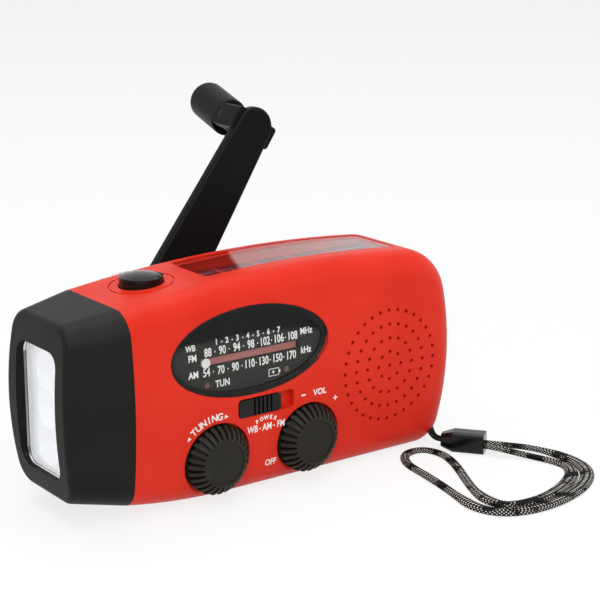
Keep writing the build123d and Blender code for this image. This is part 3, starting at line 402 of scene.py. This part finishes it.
# painted light: the reflector is near-white and has a faint glow of its own, standing in for the light its
# plated cups throw back through the lens; it is no lamp
glowingReflector = mouldedPlastic("reflectorWithPaintedGlow", "#FCFCFD", "#F5F6F9", 0.22, 3.0, 0.01, shine=1.0, glow=0.22)
clearLens = clearPlastic("clearPolycarbonateLens", "#FDFEFF", 0.02, 1.3)
clearGlass = clearPlastic("clearAcrylicCover", "#F6F8FA", 0.02, 1.16)
ledEpoxy = clearPlastic("ledEpoxyDome", "#FCFDFF", 0.05, 1.3)
redLed = mouldedPlastic("diffusedRedLed", "#7A524C", "#6E4640", 0.3, 1.0, 0.005, coat=0.3)
copperCoil = woundWire("enamelledCopperWindingAlongX", "X")
copperRing = woundWire("enamelledCopperWindingAlongY", "Y")
greenBoard = circuitBoard("greenSolderMask", "#0E4A26", "#2C7A44")
whiteBoard = circuitBoard("whiteSolderMask", "#E8E8E2", "#F4F2EC")

finishes = (
    (redAbs, ("front_shell", "rear_shell", "battery_door")),
    (softTouch, ("lamp_head",)),
    (blackAbs, ("crank_arm", "grip_post", "crank_grip", "battery_tray", "torch_switch")),
    (knobAbs, ("tuning_knob", "volume_knob")),
    (glossAbs, ("torch_button", "band_slider", "strap_clip")),
    (acetal, ("dial_pointer", "drive_gear", "first_idler", "second_idler", "tuning_capacitor",
              "tuning_shaft")),
    (phenolic, ("volume_pot", "band_switch")),
    (rubber, ("socket_cover",)),
    (conePulp, ("speaker_cone", "dial_cord")),
    (ferriteGrey, ("ferrite_rod", "speaker_magnet")),
    (cellWrap, ("battery_cells",)),
    (chromeTube, ("aerial_base", "aerial_tube_1", "aerial_tube_2", "aerial_tip")),
    (zincSteel, ("speaker_frame", "battery_contacts", "charge_socket", "generator_case", "gear_plate",
                 "volume_shaft", "crank_shaft", "strap_pin", "generator_rotor")),
    (darkSteel, ("case_screws", "inner_screws", "crank_screw", "grip_pin")),
    (bronze, ("crank_bush",)),
    (glowingReflector, ("reflector",)),
    (clearLens, ("lamp_lens",)),
    (clearGlass, ("dial_window", "solar_window")),
    (ledEpoxy, ("lamp_leds",)),
    (redLed, ("indicator_leds",)),
    (copperCoil, ("aerial_coil",)),
    (copperRing, ("generator_coil",)),
    (greenBoard, ("main_board",)),
    (whiteBoard, ("lamp_board",)),
)
for finish, nodeNames in finishes:
    setMaterial(nodeNames, finish)
print("finishes set")


def repeatedBars(name, count, start, step, bar, material):
    # bars of one size, in millimetres, a step apart, laid out by geometry nodes
    tree = bpy.data.node_groups.new(name + "Tree", "GeometryNodeTree")
    interface = tree.interface
    interface.new_socket("Geometry", in_out="INPUT", socket_type="NodeSocketGeometry")
    wanted = {"Count": ("NodeSocketInt", count), "Start": ("NodeSocketVector", start),
              "Step": ("NodeSocketVector", step), "Bar size": ("NodeSocketVector", bar)}
    sockets = {label: interface.new_socket(label, in_out="INPUT", socket_type=kind)
               for label, (kind, value) in wanted.items()}
    interface.new_socket("Geometry", in_out="OUTPUT", socket_type="NodeSocketGeometry")
    given = addNode(tree, "NodeGroupInput").outputs
    line = addNode(tree, "GeometryNodeMeshLine", {"mode": "OFFSET"},
                   links={"Count": given["Count"], "Start Location": given["Start"], "Offset": given["Step"]})
    cube = addNode(tree, "GeometryNodeMeshCube", links={"Size": given["Bar size"]})
    spread = addNode(tree, "GeometryNodeInstanceOnPoints", links={"Points": line, "Instance": cube})
    real = addNode(tree, "GeometryNodeRealizeInstances", links={"Geometry": spread})
    coloured = addNode(tree, "GeometryNodeSetMaterial", inputs={"Material": material},
                       links={"Geometry": real})
    addNode(tree, "NodeGroupOutput", links={"Geometry": coloured})
    piece = addObject(name, bpy.data.meshes.new(name))
    modifier = piece.modifiers.new("bars", "NODES")
    modifier.node_group = tree
    for label, (kind, value) in wanted.items():
        modifier[sockets[label].identifier] = value if label == "Count" else [c * mm for c in value]
    made = bpy.data.meshes.new_from_object(piece.evaluated_get(bpy.context.evaluated_depsgraph_get()))
    piece.modifiers.remove(modifier)
    piece.data = made
    made.name = name
    return piece


# the case's convex front, which every printed mark follows
caseFront = {"bulge": 150.0, "depth": 20.5, "middle": 30.0}
inkHeight, inkLift = 0.02, 0.03


def frontAt(z, under=0.0):
    # Y of the convex front at this height, or of the layer this far under it
    middle = caseFront["bulge"] - caseFront["depth"]
    return middle - math.sqrt((caseFront["bulge"] - under) ** 2 - (z - caseFront["middle"]) ** 2)


def textShape(words, size):
    # outline of the words in millimetres, centred, lying in X and Y
    data = bpy.data.curves.new("words", "FONT")
    data.body = words
    data.size = size * mm
    data.align_x, data.align_y = "CENTER", "CENTER"
    data.extrude = inkHeight / 2 * mm
    data.offset = 0.07 * mm  # ink swells the thin strokes
    data.resolution_u = 3
    mesh = meshOfCurve(data)
    points = [tuple(c / mm for c in v.co) for v in mesh.vertices]
    faces = [tuple(face.vertices) for face in mesh.polygons]
    bpy.data.meshes.remove(mesh)
    return points, faces


def triangleShape(size):
    corners = [(-size / 2, -size / 2), (size / 2, 0), (-size / 2, size / 2)]
    points = [(x, y, h) for h in (-inkHeight / 2, inkHeight / 2) for x, y in corners]
    return points, [(2, 1, 0), (3, 4, 5), (0, 1, 4, 3), (1, 2, 5, 4), (2, 0, 3, 5)]


def printPiece(name, marks, depthAt):
    # marks are (shape, x, z, turn, stretch), set upright on the surface at depthAt(z)
    points, faces = [], []
    for (shapePoints, shapeFaces), x, z, turn, stretch in marks:
        first = len(points)
        for px, py, pz in shapePoints:
            px *= stretch
            across = px * math.cos(turn) - py * math.sin(turn)
            up = px * math.sin(turn) + py * math.cos(turn)
            points.append((x + across, depthAt(z + up) - inkLift - pz, z + up))
        faces += [tuple(first + index for index in face) for face in shapeFaces]
    piece = meshPiece(name, points, faces, printWhite)
    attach(piece, "case")
    return piece


def arcWords(words, size, centre, radius, fromAngle, toAngle):
    # letters spread round an arc, in degrees from the X axis
    marks = []
    for k, letter in enumerate(words):
        angle = math.radians(fromAngle + (toAngle - fromAngle) * k / (len(words) - 1))
        marks.append((textShape(letter, size), centre[0] + radius * math.cos(angle),
                      centre[1] + radius * math.sin(angle), angle - math.pi / 2, 0.95))
    return marks


# words are given as (words, size, x, z, stretch)
casePrint = {
    "knob": (-18.5, 12.3), "reach": 11.9, "knobWord": ("TUNING", 2.7, 130, 88),
    "arrows": ((141, math.pi), (78, 0)), "arrowSize": 1.2,
    "words": (("VOL", 2.4, 14.4, 25.0, 0.95), ("-", 3.4, 8.9, 25.3, 1.4), ("+", 2.6, 19.8, 22.1, 1.1),
              ("OFF", 2.5, -1.0, 7.6, 0.85), ("WB", 2.7, -7.6, 18.4, 0.78), ("AM", 2.7, -2.9, 18.4, 0.78),
              ("FM", 2.7, 1.6, 18.4, 0.78), ("-", 2.2, -5.2, 18.5, 0.8), ("-", 2.2, -0.7, 18.5, 0.8)),
    "switch": (-3.3, 14.9), "switchReach": 6.2, "switchWord": ("POWER", 1.5, 118, 62),
}


def wordMarks(table):
    return [(textShape(words, size), x, z, 0, stretch) for words, size, x, z, stretch in table]


def makeCasePrint():
    plan = casePrint
    (x, z), reach = plan["knob"], plan["reach"]
    words, size, fromAngle, toAngle = plan["knobWord"]
    marks = arcWords(words, size, (x, z), reach, fromAngle, toAngle)
    for angle, way in plan["arrows"]:
        place = math.radians(angle)
        marks.append((triangleShape(plan["arrowSize"]), x + reach * math.cos(place),
                      z + reach * math.sin(place), place - math.pi / 2 + way, 1.0))
    marks += wordMarks(plan["words"])
    words, size, fromAngle, toAngle = plan["switchWord"]
    marks += arcWords(words, size, plan["switch"], plan["switchReach"], fromAngle, toAngle)
    printPiece("casePrint", marks, frontAt)


makeCasePrint()

# the dial plate lies under the front; its rows are heights
dialSizes = {
    "under": 2.1, "fmRow": 41.5, "amRow": 36.3, "topRow": 43.9, "slotAt": 39.0, "digits": 3.1,
    "fmStart": -20.2, "amStart": -20.9, "numberStep": 4.5, "dot": 0.34,
    "topStart": -17.4, "topStep": 3.3, "cellSign": (0.4, 32.7),
    "fm": (88, 90, 94, 98, 102, 106, 108), "am": (54, 70, 90, 110, 130, 150, 170),
    "words": (("WB", 2.2, -25.4, 43.4, 0.84), ("FM", 2.5, -25.0, 40.7, 0.84), ("AM", 2.5, -24.9, 36.3, 0.84),
              ("MHz", 2.5, 11.4, 42.2, 0.84), ("kHz", 2.5, 11.1, 37.0, 0.84),
              ("TUN", 2.6, -16.0, 32.7, 0.84)),
}


def dialAt(z):
    return frontAt(z, dialSizes["under"])


def makeDialPrint():
    sizes, step, marks = dialSizes, dialSizes["numberStep"], []
    for band in ("fm", "am"):
        for k, number in enumerate(sizes[band]):
            marks.append((textShape(str(number), sizes["digits"]), sizes[band + "Start"] + step * k,
                          sizes[band + "Row"], 0, 0.72))
    for k in range(7):
        x = sizes["topStart"] + sizes["topStep"] * k
        marks.append((textShape(str(k + 1), 2.1), x, sizes["topRow"], 0, 0.9))
        if k < 6:
            marks.append((textShape("-", 1.6), x + sizes["topStep"] / 2, sizes["topRow"], 0, 0.9))
    marks += wordMarks(sizes["words"])
    # the charging sign: a cell outline with a plus in it
    cellX, cellZ = sizes["cellSign"]
    marks.append((textShape("+", 1.7), cellX - 0.2, cellZ - 0.05, 0, 1.0))
    printPiece("dialNumbers", marks, dialAt)
    outline = ((0, 0.95, 3.3, 0.2), (0, -0.95, 3.3, 0.2), (-1.6, 0, 0.2, 2.0), (1.6, 0, 0.2, 2.0),
               (1.9, 0, 0.35, 0.8))
    rows = [(f"cellSign{k}", 1, cellX + x, cellZ + z, wide, tall)
            for k, (x, z, wide, tall) in enumerate(outline)]
    # dots between the numbers of a row
    rows += [(band + "Dots", 6, sizes[band + "Start"] + 2.15, sizes[band + "Row"], sizes["dot"], sizes["dot"])
             for band in ("fm", "am")]
    for name, count, start, z, wide, tall in rows:
        bars = repeatedBars(name, count, (start, dialAt(z) - inkLift, z), (step, 0, 0),
                            (wide, inkHeight, tall), printWhite)
        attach(bars, "case")


makeDialPrint()


# the section is (how far out from the opening, how far under the front)
windowSizes = {
    "centre": (-7.6, 40.4), "half": (23.6, 10.5), "sides": 96,
    "section": ((0, 1.375), (1.4, 1.375), (1.4, 1.405), (0.2, 1.405), (0.2, 2.06), (0, 2.06)),
}


def makeWindowMask():
    # painted shade: a black ring round the dial window, with its wall down to the plate, stands in for the
    # shade in the gap between window and case
    gapShadeInk = mouldedPlastic("paintedGapShade", "#0C0C0B", "#121211", 0.6, 0.4, 0.01)
    (x, z), (halfX, halfZ), around = windowSizes["centre"], windowSizes["half"], windowSizes["sides"]
    section = windowSizes["section"]
    points, faces, corners = [], [], len(section)
    for k in range(around):
        turn = 2 * math.pi * k / around
        for out, under in section:
            height = z + (halfZ + out) * math.sin(turn)
            points.append((x + (halfX + out) * math.cos(turn), frontAt(height, under), height))
        for i in range(corners):
            a, b = k * corners + i, k * corners + (i + 1) % corners
            ahead = ((k + 1) % around - k) * corners
            faces.append((a, b, b + ahead, a + ahead))
    mask = meshPiece("dialWindowGapShade", points, faces, gapShadeInk)
    turnOutward(mask.data)
    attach(mask, "case")


makeWindowMask()

# the dark band's lower edge bows down and leans away from the middle of the dial
dialInk = {
    "middle": -7.0, "bow": 3.5, "lean": 0.035, "edge": (43.6, 45.2), "field": "#33312D", "band": "#040404",
    "track": ("#C08078", "#B5746C"), "trackSize": (31.4, 0.12, 2.6), "trackDepth": -16.95,
}


def makeDialFace():
    # screen-printed dial: dark band over a grey field, with a thin grain in the ink
    material, tree = emptyMaterial("screenPrintedDial")
    point = addNode(tree, "ShaderNodeTexCoord").outputs["Object"]
    parts = addNode(tree, "ShaderNodeSeparateXYZ", links={"Vector": point})
    along = addNode(tree, "ShaderNodeMath", {"operation": "ADD"}, {1: -dialInk["middle"] * mm},
                    {0: parts.outputs["X"]})
    square = addNode(tree, "ShaderNodeMath", {"operation": "MULTIPLY"}, links={0: along, 1: along})
    bow = addNode(tree, "ShaderNodeMath", {"operation": "MULTIPLY_ADD"}, {1: dialInk["bow"]},
                  {0: square, 2: parts.outputs["Z"]})
    lean = addNode(tree, "ShaderNodeMath", {"operation": "MULTIPLY_ADD"}, {1: dialInk["lean"]},
                   {0: along, 2: bow})
    low, high = dialInk["edge"]
    band = addNode(tree, "ShaderNodeMapRange", inputs={"From Min": low * mm, "From Max": high * mm},
                   links={"Value": lean})
    tint = addNode(tree, "ShaderNodeValToRGB", links={"Fac": band},
                   stops=((0.0, dialInk["field"]), (1.0, dialInk["band"])))
    grain = addNode(tree, "ShaderNodeTexNoise", inputs={"Scale": 1 / (0.3 * mm), "Detail": 3.0},
                    links={"Vector": point})
    bump = addNode(tree, "ShaderNodeBump", inputs={"Strength": 0.2, "Distance": 0.01 * mm},
                   links={"Height": grain})
    shadeSurface(tree, {"Roughness": 0.6, "IOR": 1.5, "Specular IOR Level": 0.1},
                 {"Base Color": tint, "Normal": bump})
    setMaterial(["dial_plate"], material)
    # pink track that shows through the slot
    track = mouldedPlastic("pinkTrackFilm", *dialInk["track"], 0.45, 0.5, 0.01)
    place = (dialInk["middle"], dialInk["trackDepth"], dialSizes["slotAt"])
    strip = repeatedBars("dialTrack", 1, place, (1, 0, 0), dialInk["trackSize"], track)
    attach(strip, "case")


makeDialFace()
print("dial and printing made")

# solar cell: silicon under resin, with its silver fingers
solarSizes = {
    "left": -13.3, "right": 49.8, "front": -7.7, "back": 9.4, "top": 55.0, "strips": 5, "fingers": 40,
    "fingerWide": 0.1, "busbarWide": 0.7, "gapWide": 0.6, "margin": 0.8,
}


def makeSolar():
    # silicon crystals, each its own shade of blue under clear resin
    material, tree = emptyMaterial("polycrystallineSilicon")
    grains = addNode(tree, "ShaderNodeTexVoronoi", inputs={"Scale": 1 / (3.5 * mm)},
                     links={"Vector": addNode(tree, "ShaderNodeTexCoord").outputs["Object"]})
    tone = addNode(tree, "ShaderNodeSeparateColor", links={"Color": grains.outputs["Color"]})
    tint = addNode(tree, "ShaderNodeValToRGB", links={"Fac": tone.outputs["Red"]},
                   stops=((0.0, "#0A0D1C"), (1.0, "#1A2140")))
    bump = addNode(tree, "ShaderNodeBump", inputs={"Strength": 0.1, "Distance": 0.02 * mm},
                   links={"Height": grains.outputs["Distance"]})
    shadeSurface(tree, {"Roughness": 0.22, "IOR": 2.0, "Coat Weight": 0.6, "Coat Roughness": 0.05},
                 {"Base Color": tint, "Normal": bump})
    setMaterial(["solar_cell"], material)
    silver = bareMetal("screenPrintedSilver", "#C9CBCF", 0.3)
    size = solarSizes
    long, wide = size["right"] - size["left"], size["back"] - size["front"]
    middle, top = (size["front"] + size["back"]) / 2, size["top"] + 0.01
    step, strip = long / size["fingers"], long / size["strips"]
    fingers = repeatedBars("solarFingers", size["fingers"], (size["left"] + step / 2, middle, top),
                           (step, 0, 0), (size["fingerWide"], wide - size["margin"], 0.02), silver)
    bars = repeatedBars("solarBusbars", 2, ((size["left"] + size["right"]) / 2, middle - wide / 4, top),
                        (0, wide / 2, 0), (long - size["margin"], size["busbarWide"], 0.03), silver)
    gaps = repeatedBars("solarStripGaps", size["strips"] - 1, (size["left"] + strip, middle, top),
                        (strip, 0, 0), (size["gapWide"], wide - size["margin"] / 2, 0.035), redAbs)
    for piece in (fingers, bars, gaps):
        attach(piece, "case")


makeSolar()
print("solar cell made")

lightPlan = {
    "key": {"at": (-0.55, -0.95, 1.05), "size": 0.9, "power": 11.5},
    "fill": {"at": (0.95, -0.65, 0.55), "size": 0.9, "power": 1.7},
    "top": {"at": (0.0, 0.15, 1.2), "size": 0.9, "power": 8.0},
}
stage = {"worldStrength": 0.33, "floorHalf": 4000, "floorColour": "#F2F2F2", "floorGlow": 0.8}


def seenDirectly(tree):
    # 1 for rays that show the backdrop itself: camera, mirror and glass rays
    path = addNode(tree, "ShaderNodeLightPath")
    first = addNode(tree, "ShaderNodeMath", {"operation": "MAXIMUM"},
                    links={0: path.outputs["Is Camera Ray"], 1: path.outputs["Is Glossy Ray"]})
    return addNode(tree, "ShaderNodeMath", {"operation": "MAXIMUM"},
                   links={0: first, 1: path.outputs["Is Transmission Ray"]})


def makeStage():
    world = bpy.data.worlds.new("studio")
    bpy.context.scene.world = world
    world.use_nodes = True
    tree = world.node_tree
    tree.nodes.clear()
    dim = addNode(tree, "ShaderNodeBackground",
                  inputs={"Color": (1, 1, 1, 1), "Strength": stage["worldStrength"]})
    white = addNode(tree, "ShaderNodeBackground", inputs={"Color": (1, 1, 1, 1), "Strength": 1.0})
    mixed = addNode(tree, "ShaderNodeMixShader", links={0: seenDirectly(tree), 1: dim, 2: white})
    addNode(tree, "ShaderNodeOutputWorld", links={"Surface": mixed})
    material, tree = emptyMaterial("paleFloor")
    paint = addNode(tree, "ShaderNodeBsdfDiffuse", inputs={"Color": hexColour(stage["floorColour"])})
    glow = addNode(tree, "ShaderNodeEmission", inputs={"Color": (1, 1, 1, 1), "Strength": 1.0})
    share = addNode(tree, "ShaderNodeMath", {"operation": "MULTIPLY"}, {1: stage["floorGlow"]},
                    {0: seenDirectly(tree)})
    mixed = addNode(tree, "ShaderNodeMixShader", links={0: share, 1: paint, 2: glow})
    addNode(tree, "ShaderNodeOutputMaterial", links={"Surface": mixed})
    half = stage["floorHalf"]
    floor = meshPiece("floor", [(-half, -half, 0), (half, -half, 0), (half, half, 0), (-half, half, 0)],
                      [(0, 1, 2, 3)], material)
    for name, plan in lightPlan.items():
        data = bpy.data.lights.new(name, "AREA")
        data.shape = "SQUARE"
        data.size = plan["size"]
        data.energy = plan["power"]
        lamp = addObject(name, data)
        lamp.location = plan["at"]
        lamp.rotation_euler = (Vector((0, 0, 0.03)) - Vector(plan["at"])).to_track_quat("-Z", "Y").to_euler()
    bpy.context.scene.view_settings.view_transform = "Standard"


makeStage()
print("stage lit")

bpy.context.view_layer.update()
